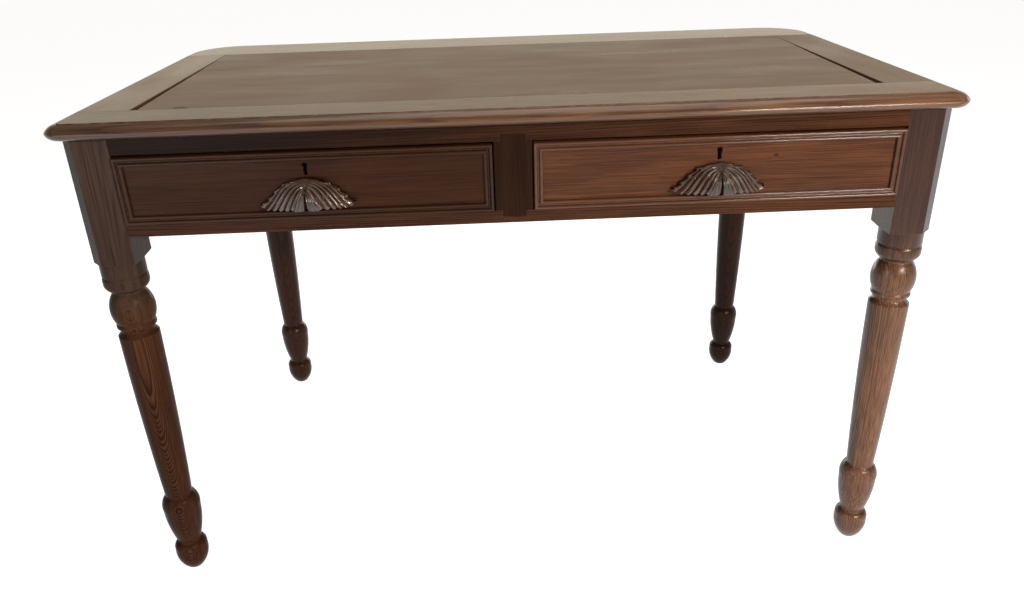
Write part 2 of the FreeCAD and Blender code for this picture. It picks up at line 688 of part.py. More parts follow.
def bead_strip(length):
    """One mitred strip of the drawer moulding, along X, its outer edge at Z 0 and its face towards -Y."""
    ridge = "-(bead_height - bead_rise)"
    near = "bead_chord"
    far = "bead_width - bead_chord"
    bend = "(bead_chord ^ 2 / 4 + bead_rise ^ 2) / (2 * bead_rise)"
    profile = [
        ("0", "0"), (ridge, "0", bend, 1), (ridge, near),
        ("-bead_root", f"{near} + bead_quirk"), ("-bead_root", f"{far} - bead_quirk"),
        (ridge, far, bend, 1), (ridge, "bead_width"), ("0", "bead_width"),
    ]
    run = seat(padded("YZ_Plane", profile, length), f"-({length}) / 2")
    half = f"({length}) / 2"
    mitred = [(f"-{half}", "0"), (half, "0"), (f"{half} - bead_width", "bead_width")]
    mitred.append((f"-{half} + bead_width", "bead_width"))
    return common(run, seat(padded("XZ_Plane", mitred, "2 * bead_height"), "0", "-bead_height"))


def drawer_moulding():
    """Four strips mitred round the drawer front."""
    strips = []
    across = ("drawer_width", "drawer_height")
    places = [("0", "0"), ("drawer_width / 2", "drawer_height / 2"), ("0", "drawer_height")]
    places.append(("-drawer_width / 2", "drawer_height / 2"))
    for number, (x, z) in enumerate(places):
        strip = bead_strip(across[number % 2])
        strip.Placement.Rotation = Rotation(Vector(0, 1, 0), -90 * number)
        strips.append(seat(strip, x, "0", z))
    return gather(strips)


def carved_pull():
    """Two drooping leaves, hollowed: a front outline cut to one curve from the side and one from above."""
    half = "pull_width / 2"
    top = "pull_height"
    lobe = "(lobe_chord ^ 2 / 4 + lobe_rise ^ 2) / (2 * lobe_rise)"
    joints = [f"(cleft_width / 2 + {number} * lobe_chord)" for number in range(3)]
    shoulder = "(pull_height - shoulder_drop)"
    outline = [(joint, "lobe_rise", lobe, -1) for joint in joints]
    outline += [(half, "tip_rise", "tip_flick", 1), ("shoulder_reach", shoulder, "pull_arch", -1)]
    outline += [("0", top, "pull_arch", -1), ("-shoulder_reach", shoulder, "tip_flick", 1)]
    outline += [(f"-{half}", "tip_rise", lobe, -1), (f"-{joints[2]}", "lobe_rise", lobe, -1)]
    outline += [(f"-{joints[1]}", "lobe_rise", lobe, -1), (f"-{joints[0]}", "lobe_rise")]
    outline.append(("0", "cleft_height"))
    front = seat(padded("XZ_Plane", outline, "2 * pull_projection"), "0", "-pull_projection")

    deep = "-pull_projection"
    side = [("0", top, "leaf_fall", -1), (deep, "leaf_brow"), (deep, "0"), ("0", "0")]
    leaning = seat(padded("YZ_Plane", side, "pull_width"), f"-{half}")

    bulge = "(pull_projection - tip_thickness)"
    bow = f"(pull_width ^ 2 / 4 + {bulge} ^ 2) / (2 * {bulge})"
    plan = [
        (f"-{half}", "0"), (f"-{half}", "-tip_thickness", bow, -1), (half, "-tip_thickness"), (half, "0"),
    ]
    arched = padded("XY_Plane", plan, "pull_height")
    mass = common(common(front, leaning), arched)

    pad_foot = "(pull_height - pull_pad)"
    reach = "-(pull_projection - pull_wall)"
    hollow_side = [
        ("0", pad_foot, "leaf_fall", -1), (reach, "hollow_lip"), (reach, "-cut_over"), ("0", "-cut_over"),
    ]
    hollow = seat(padded("YZ_Plane", hollow_side, "2 * hollow_half"), "-hollow_half")
    rise = "(pull_projection - pull_wall)"
    sweep = f"(hollow_half ^ 2 + {rise} ^ 2) / (2 * {rise})"
    hollow_plan = [("-hollow_half", "0", sweep, -1), ("hollow_half", "0")]
    room = seat(padded("XY_Plane", hollow_plan, "pull_height"), "0", "0", "-cut_over")
    return cut(mass, [common(hollow, room)])


def make_drawer(side, name):
    """One dovetailed drawer with its moulding, pull and lock."""
    place = (f"{side} * drawer_middle", "front", "drawer_floor")
    half = "drawer_width / 2"
    lie_back = Rotation(Vector(1, 0, 0), -90)

    sides = {}
    for sign, hand in ((-1, "left"), (1, "right")):
        start = f"-{half}" if sign < 0 else f"{half} - side_thickness"
        sides[hand] = seat(padded("YZ_Plane", side_outline(), "side_thickness"), start)
    groove = "(drawer_width / 2 - side_thickness + bottom_groove)"
    bottom = board((f"-{groove}", groove), ("front_thickness - bottom_groove", "drawer_length"),
                   ("bottom_height", "bottom_top"))
    blank = board((f"-{half}", half), ("0", "front_thickness"), ("0", "drawer_height"))
    heel = ("drawer_length - back_thickness", "drawer_length")
    back = board((f"-{half}", half), heel, ("bottom_top", "side_height - back_drop"))

    case = board(("-lock_width / 2", "lock_width / 2"), ("lock_front", "front_thickness"),
                 ("lock_foot", "drawer_height"))
    slot = "(bolt_width / 2 + bolt_gap)"
    well = board((f"-{slot}", slot), ("bolt_front - bolt_gap", "bolt_front + bolt_thickness + bolt_gap"),
                 ("drawer_height - bolt_length", "drawer_height + cut_over"))
    bolt = board(("-bolt_width / 2", "bolt_width / 2"), ("bolt_front", "bolt_front + bolt_thickness"),
                 ("drawer_height - bolt_length", "drawer_height"))
    keyhole = [
        rod("keyhole_radius", "bolt_front - bolt_gap", "0", "0", "keyhole_height", lie_back),
        board(("-keyhole_slot / 2", "keyhole_slot / 2"), ("0", "bolt_front - bolt_gap"),
              ("keyhole_height - keyhole_length", "keyhole_height")),
    ]

    pull = seat(carved_pull(), "0", "0", "pull_foot")
    screws = []
    bores = []
    for sign in (-1, 1):
        spot = f"{sign} * screw_spread / 2"
        head = doc.addObject("Part::Cone", "head")
        head.setExpression("Radius1", spell("screw_radius"))
        head.setExpression("Radius2", spell("head_radius"))
        head.setExpression("Height", spell("head_height"))
        head.Placement.Rotation = lie_back
        seat(head, spot, "front_thickness", "screw_height")
        length = "screw_grip + front_thickness"
        shank = rod("screw_radius", length, spot, "-screw_grip", "screw_height", lie_back)
        screws.append(join([shank, head]))
        bores.append(rod("screw_radius + screw_gap", length, spot, "-screw_grip", "screw_height", lie_back))

    pieces = {
        "front": cut(blank, [sides["left"], sides["right"], bottom, case] + keyhole + bores),
        "side_left": cut(sides["left"], [bottom]),
        "side_right": cut(sides["right"], [bottom]),
        "back": cut(back, [sides["left"], sides["right"]]),
        "bottom": bottom,
        "moulding": drawer_moulding(),
        "pull": cut(pull, bores),
        "pull_screws": gather(screws),
        "lock_case": cut(case, [well] + keyhole),
        "lock_bolt": bolt,
    }
    for piece, item in pieces.items():
        if item in (bottom, bolt):
            item = gather([item])
        seat(item, *place)
        keep(item, f"drawer_{name}_{piece}")


rails = make_front()
aprons = make_aprons()
make_legs(rails, aprons)
screw_holes = make_carcase_strips()
make_small_blocks()
make_top()
make_drawer(-1, "left")
make_drawer(1, "right")

doc.recompute()
for item in doc.Objects:
    assert "Invalid" not in item.State and "Error" not in item.State, f"{item.Label} failed: {item.State}"
for item in nodes:
    shape = item.Shape
    assert not shape.isNull() and shape.isValid() and shape.Solids, f"{item.Label} has no sound shape"
os.makedirs("parts", exist_ok=True)
for item in nodes:
    item.Shape.exportStep(f"parts/{item.Label}.step")
print(f"{len(nodes)} pieces, {sum(len(item.Shape.Solids) for item in nodes)} solids")
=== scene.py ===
import math

import bpy
import numpy as np
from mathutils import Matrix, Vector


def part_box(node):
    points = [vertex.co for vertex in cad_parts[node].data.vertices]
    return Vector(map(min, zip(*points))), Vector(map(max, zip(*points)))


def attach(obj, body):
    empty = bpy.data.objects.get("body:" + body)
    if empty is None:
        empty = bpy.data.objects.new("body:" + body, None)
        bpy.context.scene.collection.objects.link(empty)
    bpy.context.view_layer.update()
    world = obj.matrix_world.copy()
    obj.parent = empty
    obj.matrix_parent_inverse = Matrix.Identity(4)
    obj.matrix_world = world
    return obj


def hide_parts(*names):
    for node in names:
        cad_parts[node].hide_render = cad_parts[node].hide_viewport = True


bl_info = {
    "name": "Two-drawer writing table",
    "version": (1, 0, 0),
    "blender": (4, 5, 0),
    "location": "View3D > Sidebar > Writing table",
    "description": "Varnished pitch pine, carved leaf pulls and a studio for a writing table",
    "category": "Object",
}

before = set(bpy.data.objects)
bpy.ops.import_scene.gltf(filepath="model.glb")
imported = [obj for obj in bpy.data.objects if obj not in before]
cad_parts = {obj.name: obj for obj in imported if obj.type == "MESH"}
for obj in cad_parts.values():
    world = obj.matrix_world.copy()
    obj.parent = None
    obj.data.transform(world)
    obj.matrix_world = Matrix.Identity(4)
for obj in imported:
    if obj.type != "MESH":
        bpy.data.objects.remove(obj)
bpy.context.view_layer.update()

DRAWERS = ("drawer_left", "drawer_right")
MM = 0.001

# Sockets of a Mix node that blends two colours: three inputs and the output.
FACTOR, FIRST, SECOND, BLEND = 0, 6, 7, 2


def linear(code):
    """Linear RGBA of an sRGB hex colour."""
    shade = np.array([int(code[i:i + 2], 16) for i in (0, 2, 4)]) / 255
    light = np.where(shade <= 0.04045, shade / 12.92, ((shade + 0.055) / 1.055) ** 2.4)
    return (*light.tolist(), 1.0)


def add(tree, kind, settings=None, inputs=None):
    """Adds a shader node with its own settings, and values or links for its inputs."""
    item = tree.nodes.new("ShaderNode" + kind)
    for key, value in (settings or {}).items():
        setattr(item, key, value)
    for key, value in (inputs or {}).items():
        if isinstance(value, bpy.types.NodeSocket):
            tree.links.new(value, item.inputs[key])
        else:
            item.inputs[key].default_value = value
    return item


def blank_material(name):
    """An empty material and its node tree, to which the caller adds every node."""
    material = bpy.data.materials.new(name)
    material.use_nodes = True
    material.node_tree.nodes.clear()
    return material, material.node_tree


def smooth(low, high, value):
    """0 at low and before it, 1 at high and past it, and the cubic 3k^2 - 2k^3 between them."""
    k = np.clip((value - low) / (high - low), 0, 1)
    return k * k * (3 - 2 * k)


def bell(width, value):
    """1 at zero, falling as exp(-k^2) on both sides, where k counts widths."""
    return np.exp(-(value / width) ** 2)


# Turns that bring each grain direction to the pattern's own X.
GRAIN_TURN = {"X": (0, 0, 0), "Y": (0, 0, -math.pi / 2), "Z": (0, math.pi / 2, 0)}


def across_grain(grain, point):
    """The two coordinates across the grain, in millimetres, of a point in metres after that turn."""
    x, y, z = (value / MM for value in point)
    return {"X": (y, z), "Y": (-x, z), "Z": (y, -x)}[grain]


def tone(label, text, code):
    """A colour that the user may change."""
    return bpy.props.FloatVectorProperty(
        name=label, description=text, subtype="COLOR", size=4, default=linear(code))


def length(label, text, size):
    """A length that the user may change, given in millimetres."""
    return bpy.props.FloatProperty(
        name=label, description=text, unit="LENGTH", precision=4, default=size * MM)


class FinishSettings(bpy.types.PropertyGroup):
    """Colours of the timber finishes."""

    frame_early: tone("Frame, spring wood", "Paler half of a ring in the legs and rails", "6B4229")
    frame_late: tone("Frame, summer wood", "Darker half of a ring in the legs and rails", "3A1E10")
    drawer_early: tone("Drawers, spring wood", "Paler half of a ring in the drawer fronts", "704428")
    drawer_late: tone("Drawers, summer wood", "Darker half of a ring in the drawer fronts", "4C2A18")
    top_early: tone("Top, spring wood", "Paler half of a ring in the top", "6E4D33")
    top_late: tone("Top, summer wood", "Darker half of a ring in the top", "4A3020")
    bare_early: tone("Inside, spring wood", "Paler half of a ring in unvarnished pine", "B58A5C")
    bare_late: tone("Inside, summer wood", "Darker half of a ring in unvarnished pine", "86592F")
    # The pulls' ridge colour is partly a painted highlight on rubbed wood.
    carved: tone("Carved pulls", "Stained wood of the pulls, on the ridges", "664936")
    carved_deep: tone("Carved pulls, grooves", "Stained wood of the pulls, in the grooves", "160D08")


class PullSettings(bpy.types.PropertyGroup):
    """Sizes of the carving on the two pulls."""

    ridges: bpy.props.IntProperty(name="Ridges", description="Ridges carved in each leaf", default=6)
    ridge_depth: length("Ridge depth", "Height of a ridge above its grooves", 3.0)
    teeth: bpy.props.IntProperty(
        name="Teeth", description="Teeth along the upper edge of each leaf", default=5)
    tooth_depth: length("Tooth depth", "How far a tooth stands out of the edge", 3.0)
    wall: length("Leaf wall", "Thickness of a leaf in front of the fingers", 4.0)
    boss_out: length("Boss, sideways", "From the middle of the pull to the boss round a screw", 22.0)
    boss_drop: length("Boss, down", "From the crown of the pull down to the boss round a screw", 7.0)


class StageSettings(bpy.types.PropertyGroup):
    """Camera and floor."""

    camera_place: bpy.props.FloatVectorProperty(
        name="Camera place", description="Where the camera stands",
        subtype="XYZ", unit="LENGTH", default=(-0.0308, -1.4161, 0.9976))
    camera_turn: bpy.props.FloatVectorProperty(
        name="Camera turn", description="How the camera is turned",
        subtype="EULER", default=tuple(math.radians(a) for a in (64.866, 1.669, -2.004)))
    camera_lens: bpy.props.FloatProperty(
        name="Lens", description="Focal length on a 36 mm sensor", unit="CAMERA", default=29.31)
    floor: tone("Floor", "Colour of the studio floor", "D2D1CF")


# Sizes of the timber's patterns in millimetres, along the grain and twice across it, and the detail
# of their noise. Fibres are drawn coarser than real ones, which are too fine to show.
LAYERS = {
    "fibre": ((70, 1.3, 1.3), 3.0),
    "streak": ((240, 7, 7), 4.0),
    "stain": ((160, 60, 60), 4.0),
    "ripple": ((45, 16, 16), 3.0),
}
SWAY_SIZE = (330, 75, 75)
RUB_SIZE = 14
# Millimetres along the trunk from one piece's timber to the next one's.
LOT_STEP = 731.0
# How much further from the heart a ring lies for each millimetre along the trunk.
TRUNK_TAPER = 0.012
# Rings over which good and bad years alternate, and ring widths by which they move a ring.
YEARS_SPAN, YEARS_SHIFT = 4.6, 2.6
# Share of summer wood where a ring starts and ends, and at places within it.
RING_ENDS = 0.12
RING_STOPS = ((0.3, 0.06), (0.62, 0.45), (0.82, 0.95), (0.93, 1.0))
# Millimetres below its place in which a bow bends the trunk, and over which the figure weakens, and
# the share of the figure that is left past its end.
BOW_REACH, BOW_FADE, BOW_REST = 450, 30, 0.3
# How far a knot pushes the rings and out to where, in knot sizes, and what a step along X counts.
KNOT_PUSH, KNOT_REACH, KNOT_ALONG = 1.6, 4.0, 0.6
# Where a knot's dark core and the halo round it end, in knot sizes, the share of colour that the core
# keeps, and how much rougher it is.
KNOT_CORE, KNOT_HALO, KNOT_KEEPS, KNOT_DULL = 0.55, 1.1, 0.35, 0.2
# Cosine between a face and the lit direction below which the face keeps least of its colour, as painted
# shade, and above which it keeps all of it.
SIDE_SHADE_START, SIDE_SHADE_FULL = 0.1, 0.95
# Cosine between a face's own normal and the bevelled one where an arris starts, and where it is full.
ARRIS_START, ARRIS_FULL = 0.99, 0.86
# A rubbed arris is so many times as pale as spring wood, and a little paler still.
RUB_PALER, RUB_LIFT = 2.2, 0.02


def pine(name, node, tones, grain="X", heart=(30, 220), ring=2.2, bend=6.0, figure=0.6, shade=1.0,
         gloss=0.26, level=0.3, worn=0.5, knots=(), painted_light=None, fine=1.0, tint_and_sheen=(1, 1, 1), arris=1.8,
         bow=None, sun=None):
    """Pitch pine, planed or turned and varnished: stripes on a quartered face, flames on a flat one.

    Rings lie round a heart line that runs along the grain beside the board. The distance from the
    heart, bent by slow noise and tapered along the grain, is counted in ring widths; the part of
    each count after the whole number goes through a ramp that climbs slowly from pale spring wood
    to dark summer wood and drops at once. Fine streaks lie along the fibres, stain is uneven over
    a hand's breadth, arrises are rubbed paler in places, and old varnish ripples the gloss.
    A knot is (x, y, z, size) in millimetres, and pushes the rings round it. A ramp of painted light
    and shade is (axis, start, end, first, last): its red, green and blue factors go from first to last
    between two places along the axis. Bow is (place, rise, end): the trunk bends away from a place
    along Z by so much in each 100 mm squared, which closes the rings to ovals there, and the figure is
    weak past the end. Painted side shade is (direction, least): faces that look that way keep their
    colour, and those that look away are painted darker as shade and keep least of it.
    """
    middle = [(a + b) / 2 for a, b in zip(*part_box(node))]
    u, v = across_grain(grain, middle)
    lot = sum(node.encode())
    # Shade and tint scale the two tones: partly the stain of the piece, and partly painted shade, painted
    # light and a painted sheen.
    early, late = ([shade * a * b for a, b in zip(colour, tint_and_sheen)] + [1.0] for colour in tones)
    material, tree = blank_material(name)
    place = add(tree, "TexCoord").outputs["Object"]
    facing = add(tree, "NewGeometry").outputs["Normal"]
    timber = add(tree, "Mapping", None, {
        "Vector": place, "Scale": (1 / MM,) * 3, "Rotation": GRAIN_TURN[grain],
        "Location": (lot * LOT_STEP, -u - heart[0], -v - heart[1]),
    }).outputs["Vector"]
    noise = {}
    for layer, (size, detail) in LAYERS.items():
        scaled = add(tree, "VectorMath", {"operation": "MULTIPLY"},
                     {0: timber, 1: [1 / side for side in size]})
        noise[layer] = add(tree, "TexNoise", None, {
            "Vector": scaled.outputs[0], "Scale": 1.0, "Detail": detail}).outputs["Fac"]

    # Distance from the heart.
    slow = add(tree, "VectorMath", {"operation": "MULTIPLY"},
               {0: timber, 1: [1 / side for side in SWAY_SIZE]})
    sway = add(tree, "TexNoise", None, {"Vector": slow.outputs[0], "Scale": 1.0, "Detail": 1.5})
    sway = add(tree, "VectorMath", {"operation": "SUBTRACT"}, {0: sway.outputs["Color"], 1: (0.5,) * 3})
    bent = add(tree, "VectorMath", {"operation": "MULTIPLY_ADD"},
               {0: sway.outputs[0], 1: (0, bend, bend), 2: timber})
    flat = add(tree, "VectorMath", {"operation": "MULTIPLY"}, {0: bent.outputs[0], 1: (0, 1, 1)})
    radius = add(tree, "VectorMath", {"operation": "LENGTH"}, {0: flat.outputs[0]}).outputs["Value"]
    along = add(tree, "SeparateXYZ", None, {0: timber}).outputs[0]
    radius = add(tree, "Math", {"operation": "MULTIPLY_ADD"},
                 {0: along, 1: TRUNK_TAPER, 2: radius}).outputs[0]

    strength = figure
    if bow:
        bow_place, rise, bow_end = bow
        up = add(tree, "SeparateXYZ", None, {0: place}).outputs[2]
        away = add(tree, "MapRange", None, {
            "Value": up, "From Min": (bow_place - BOW_REACH) * MM, "From Max": bow_end * MM,
            "To Min": -BOW_REACH / 100, "To Max": (bow_end - bow_place) / 100}).outputs[0]
        away = add(tree, "Math", {"operation": "MULTIPLY"}, {0: away, 1: away}).outputs[0]
        radius = add(tree, "Math", {"operation": "MULTIPLY_ADD"},
                     {0: away, 1: rise, 2: radius}).outputs[0]
        strength = add(tree, "MapRange", None, {
            "Value": up, "From Min": bow_end * MM, "From Max": (bow_end - BOW_FADE) * MM,
            "To Min": BOW_REST * figure, "To Max": figure}).outputs[0]

    dark = None
    for x, y, z, size in knots:
        scale = 1 / (size * MM)
        away = add(tree, "VectorMath", {"operation": "SUBTRACT"},
                   {0: place, 1: (x * MM, y * MM, z * MM)})
        away = add(tree, "VectorMath", {"operation": "MULTIPLY"},
                   {0: away.outputs[0], 1: (KNOT_ALONG * scale, scale, scale)})
        away = add(tree, "VectorMath", {"operation": "LENGTH"}, {0: away.outputs[0]}).outputs["Value"]
        push = add(tree, "MapRange", {"interpolation_type": "SMOOTHSTEP"}, {
            "Value": away, "From Max": KNOT_REACH, "To Min": KNOT_PUSH * size, "To Max": 0.0}).outputs[0]
        radius = add(tree, "Math", {"operation": "ADD"}, {0: radius, 1: push}).outputs[0]
        core = add(tree, "MapRange", {"interpolation_type": "SMOOTHSTEP"}, {
            "Value": away, "From Min": KNOT_CORE, "From Max": KNOT_HALO,
            "To Min": KNOT_KEEPS, "To Max": 1.0}).outputs[0]
        dark = add(tree, "Math", {"operation": "MULTIPLY"}, {0: core, 1: dark or 1.0}).outputs[0]

    # Rings, with fibres and streaks over them.
    span = add(tree, "Math", {"operation": "DIVIDE"}, {0: radius, 1: YEARS_SPAN * ring}).outputs[0]
    years = add(tree, "TexNoise", {"noise_dimensions": "1D"},
                {"W": span, "Scale": 1.0, "Detail": 1.0}).outputs["Fac"]
    uneven = add(tree, "Math", {"operation": "MULTIPLY_ADD"},
                 {0: years, 1: YEARS_SHIFT * ring, 2: radius}).outputs[0]
    count = add(tree, "Math", {"operation": "DIVIDE"}, {0: uneven, 1: ring}).outputs[0]
    part = add(tree, "Math", {"operation": "FRACT"}, {0: count}).outputs[0]
    ramp = add(tree, "ValToRGB", None, {"Fac": part})
    stops = ramp.color_ramp.elements
    stops[0].color = stops[1].color = (RING_ENDS,) * 3 + (1,)
    for position, value in RING_STOPS:
        stops.new(position).color = (value,) * 3 + (1,)
    fibres = add(tree, "MapRange", None, {
        "Value": noise["fibre"], "From Min": 0.3, "From Max": 0.7,
        "To Min": -0.2 * fine, "To Max": 0.3 * fine}).outputs[0]
    streaks = add(tree, "MapRange", None, {
        "Value": noise["streak"], "From Min": 0.3, "From Max": 0.7,
        "To Min": -0.15, "To Max": 0.35}).outputs[0]
    mixed = add(tree, "Math", {"operation": "ADD"}, {0: fibres, 1: streaks}).outputs[0]
    rings = add(tree, "Math", {"operation": "MULTIPLY_ADD", "use_clamp": True},
                {0: ramp.outputs["Color"], 1: strength, 2: mixed}).outputs[0]
    colour = add(tree, "Mix", {"data_type": "RGBA"},
                 {FACTOR: rings, FIRST: early, SECOND: late}).outputs[BLEND]

    # Stain and how deep it is, and the gloss that goes with it; then painted light and shade: a ramp along
    # one axis, and painted shade on faces turned from one direction.
    stain_and_shade = add(tree, "MapRange", None, {
        "Value": noise["stain"], "From Min": 0.3, "From Max": 0.75,
        "To Min": 0.8, "To Max": 1.15}).outputs[0]
    rough = add(tree, "MapRange", None, {
        "Value": noise["stain"], "From Min": 0.3, "From Max": 0.75,
        "To Min": gloss - 0.04, "To Max": gloss + 0.08}).outputs[0]
    if dark:
        stain_and_shade = add(tree, "Math", {"operation": "MULTIPLY"}, {0: stain_and_shade, 1: dark}).outputs[0]
        dull = add(tree, "Math", {"operation": "MULTIPLY_ADD"},
                   {0: dark, 1: -KNOT_DULL, 2: KNOT_DULL}).outputs[0]
        rough = add(tree, "Math", {"operation": "ADD"}, {0: rough, 1: dull}).outputs[0]
    # Painted light and shade: the colour is scaled from one factor to another along an axis.
    if painted_light:
        axis, start, end, first, last = painted_light
        way = add(tree, "SeparateXYZ", None, {0: place}).outputs["XYZ".index(axis)]
        way = add(tree, "MapRange", {"interpolation_type": "SMOOTHSTEP"},
                  {"Value": way, "From Min": start * MM, "From Max": end * MM}).outputs[0]
        painted_light_colour = add(tree, "Mix", {"data_type": "RGBA"},
                   {FACTOR: way, FIRST: (*first, 1), SECOND: (*last, 1)}).outputs[BLEND]
        colour = add(tree, "VectorMath", {"operation": "MULTIPLY"}, {0: colour, 1: painted_light_colour}).outputs[0]
    # Painted shade: faces turned away from the given direction are darkened.
    if sun:
        direction, least = sun
        lit = add(tree, "VectorMath", {"operation": "DOT_PRODUCT"},
                  {0: facing, 1: direction}).outputs["Value"]
        lit = add(tree, "MapRange", {"interpolation_type": "SMOOTHSTEP"}, {
            "Value": lit, "From Min": SIDE_SHADE_START, "From Max": SIDE_SHADE_FULL, "To Min": least}).outputs[0]
        stain_and_shade = add(tree, "Math", {"operation": "MULTIPLY"}, {0: stain_and_shade, 1: lit}).outputs[0]
    colour = add(tree, "VectorMath", {"operation": "SCALE"}, {0: colour, "Scale": stain_and_shade}).outputs[0]

    # Arrises, rubbed where the bevelled normal leaves the face's own.
    turned = facing
    if worn:
        turned = add(tree, "Bevel", {"samples": 6}, {"Radius": arris * MM}).outputs[0]
        near = add(tree, "VectorMath", {"operation": "DOT_PRODUCT"},
                   {0: turned, 1: facing}).outputs["Value"]
        near = add(tree, "MapRange", None, {
            "Value": near, "From Min": ARRIS_START, "From Max": ARRIS_FULL}).outputs[0]
        rub = add(tree, "VectorMath", {"operation": "SCALE"}, {0: timber, "Scale": 1 / RUB_SIZE})
        rub = add(tree, "TexNoise", None, {
            "Vector": rub.outputs[0], "Scale": 1.0, "Detail": 5.0}).outputs["Fac"]
        rub = add(tree, "MapRange", None, {
            "Value": rub, "From Min": 0.42, "From Max": 0.68, "To Max": worn}).outputs[0]
        rubbed = add(tree, "Math", {"operation": "MULTIPLY"}, {0: near, 1: rub}).outputs[0]
        pale = [min(1.0, RUB_PALER * channel + RUB_LIFT) for channel in early[:3]] + [1.0]
        colour = add(tree, "Mix", {"data_type": "RGBA"},
                     {FACTOR: rubbed, FIRST: colour, SECOND: pale}).outputs[BLEND]

    relief = add(tree, "Bump", None, {
        "Height": rings, "Strength": 0.3, "Distance": 0.1 * MM, "Normal": turned}).outputs[0]
    relief = add(tree, "Bump", None, {
        "Height": noise["ripple"], "Strength": 0.5, "Distance": 0.3 * MM, "Normal": relief}).outputs[0]
    shader = add(tree, "BsdfPrincipled", None, {
        "Base Color": colour, "Roughness": rough, "IOR": 1.5, "Specular IOR Level": level,
        "Normal": relief})
    add(tree, "OutputMaterial", None, {"Surface": shader.outputs[0]})
    return material


def brass(name):
    """Old brass, cast and filed: a dark brown metal, nearly black in patches of tarnish 10 mm wide, and
    darker overall as painted shade, so that the keyhole shows black.
    """
    material, tree = blank_material(name)
    place = add(tree, "TexCoord").outputs["Object"]
    tarnish = add(tree, "TexNoise", None, {
        "Vector": place, "Scale": 1 / (10 * MM), "Detail": 5.0}).outputs["Fac"]
    colour = add(tree, "Mix", {"data_type": "RGBA"}, {
        FACTOR: tarnish, FIRST: linear("2C2314"), SECOND: linear("100C07")}).outputs[BLEND]
    rough = add(tree, "MapRange", None, {"Value": tarnish, "To Min": 0.25, "To Max": 0.6}).outputs[0]
    shader = add(tree, "BsdfPrincipled", None, {"Base Color": colour, "Metallic": 1.0, "Roughness": rough})
    add(tree, "OutputMaterial", None, {"Surface": shader.outputs[0]})
    return material


def steel(name):
    """Plain steel screw, turned and gone grey: brown spots of old rust, 2 mm wide, on a satin metal."""
    material, tree = blank_material(name)
    place = add(tree, "TexCoord").outputs["Object"]
    rust = add(tree, "TexNoise", None, {
        "Vector": place, "Scale": 1 / (2 * MM), "Detail": 4.0}).outputs["Fac"]
    colour = add(tree, "Mix", {"data_type": "RGBA"}, {
        FACTOR: rust, FIRST: linear("8C8A86"), SECOND: linear("4A3A30")}).outputs[BLEND]
    rough = add(tree, "MapRange", None, {"Value": rust, "To Min": 0.3, "To Max": 0.7}).outputs[0]
    shader = add(tree, "BsdfPrincipled", None, {"Base Color": colour, "Metallic": 0.9, "Roughness": rough})
    add(tree, "OutputMaterial", None, {"Surface": shader.outputs[0]})
    return material


# Streaks to a metre along X, Y and Z: 5 mm long, and 1.4 and 0.7 mm wide.
CARVED_STREAKS = (200, 700, 1400)


def carved_wood(name):
    """Stained and polished fruitwood, carved: ridges rubbed bright and painted paler as a highlight,
    grooves dark with old polishing residue.
    """
    finish = bpy.context.scene.table_finish
    material, tree = blank_material(name)
    place = add(tree, "TexCoord").outputs["Object"]
    ridge = add(tree, "Attribute", {"attribute_name": "ridge"}).outputs["Fac"]
    scaled = add(tree, "VectorMath", {"operation": "MULTIPLY"}, {0: place, 1: CARVED_STREAKS})
    streak = add(tree, "TexNoise", None, {
        "Vector": scaled.outputs[0], "Scale": 1.0, "Detail": 3.0}).outputs["Fac"]
    mixed = add(tree, "MapRange", None, {
        "Value": streak, "From Min": 0.3, "From Max": 0.7, "To Min": -0.2, "To Max": 0.2}).outputs[0]
    mixed = add(tree, "Math", {"operation": "ADD", "use_clamp": True}, {0: mixed, 1: ridge}).outputs[0]
    colour = add(tree, "Mix", {"data_type": "RGBA"}, {
        FACTOR: mixed, FIRST: tuple(finish.carved_deep), SECOND: tuple(finish.carved)}).outputs[BLEND]
    rough = add(tree, "MapRange", None, {"Value": mixed, "To Min": 0.26, "To Max": 0.06}).outputs[0]
    relief = add(tree, "Bump", None, {"Height": streak, "Strength": 0.4, "Distance": 0.25 * MM})
    shader = add(tree, "BsdfPrincipled", None, {
        "Base Color": colour, "Roughness": rough, "IOR": 1.5, "Specular IOR Level": 0.75,
        "Normal": relief.outputs[0]})
    add(tree, "OutputMaterial", None, {"Surface": shader.outputs[0]})
    return material


def dress(name, material):
    """Gives a CAD node its material."""
    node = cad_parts[name]
    node.data.materials.clear()
    node.data.materials.append(material)


def soften(name, width):
    """Rubs the sharp edges of a CAD node by welding its triangles and rounding the arrises."""
    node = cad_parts[name]
    weld = node.modifiers.new("weld", "WELD")
    weld.merge_threshold = 0.01 * MM
    round_over = node.modifiers.new("worn_edge", "BEVEL")
    round_over.width = width
    round_over.segments = 2
    round_over.limit_method = "ANGLE"
    round_over.angle_limit = math.radians(35)


# Points nearer than this are one point of the pull's mesh.
MERGE_DISTANCE = 0.0002 * MM


def closed_mesh(name, points, quads):
    """A mesh of quads whose coincident points are merged, so that seams and poles are closed."""
    keys = np.round(points / MERGE_DISTANCE).astype(np.int64)
    _, first, back = np.unique(keys, axis=0, return_index=True, return_inverse=True)
    quads = back.reshape(-1)[quads]
    keep = quads != np.roll(quads, -1, axis=1)
    count = keep.sum(axis=1)
    thirds = quads[count == 3][keep[count == 3]].reshape(-1, 3)
    mesh = bpy.data.meshes.new(name)
    mesh.from_pydata(points[first], [], quads[count == 4].tolist() + thirds.tolist())
    mesh.update()
    mesh.polygons.foreach_set("use_smooth", np.ones(len(mesh.polygons), bool))
    return mesh, first


# Rays across both leaves of a pull, points along each ray, and the power that crowds the rays towards
# the middle.
LEAF_RAYS, LEAF_STEPS, RAY_POWER = 401, 97, 1.25
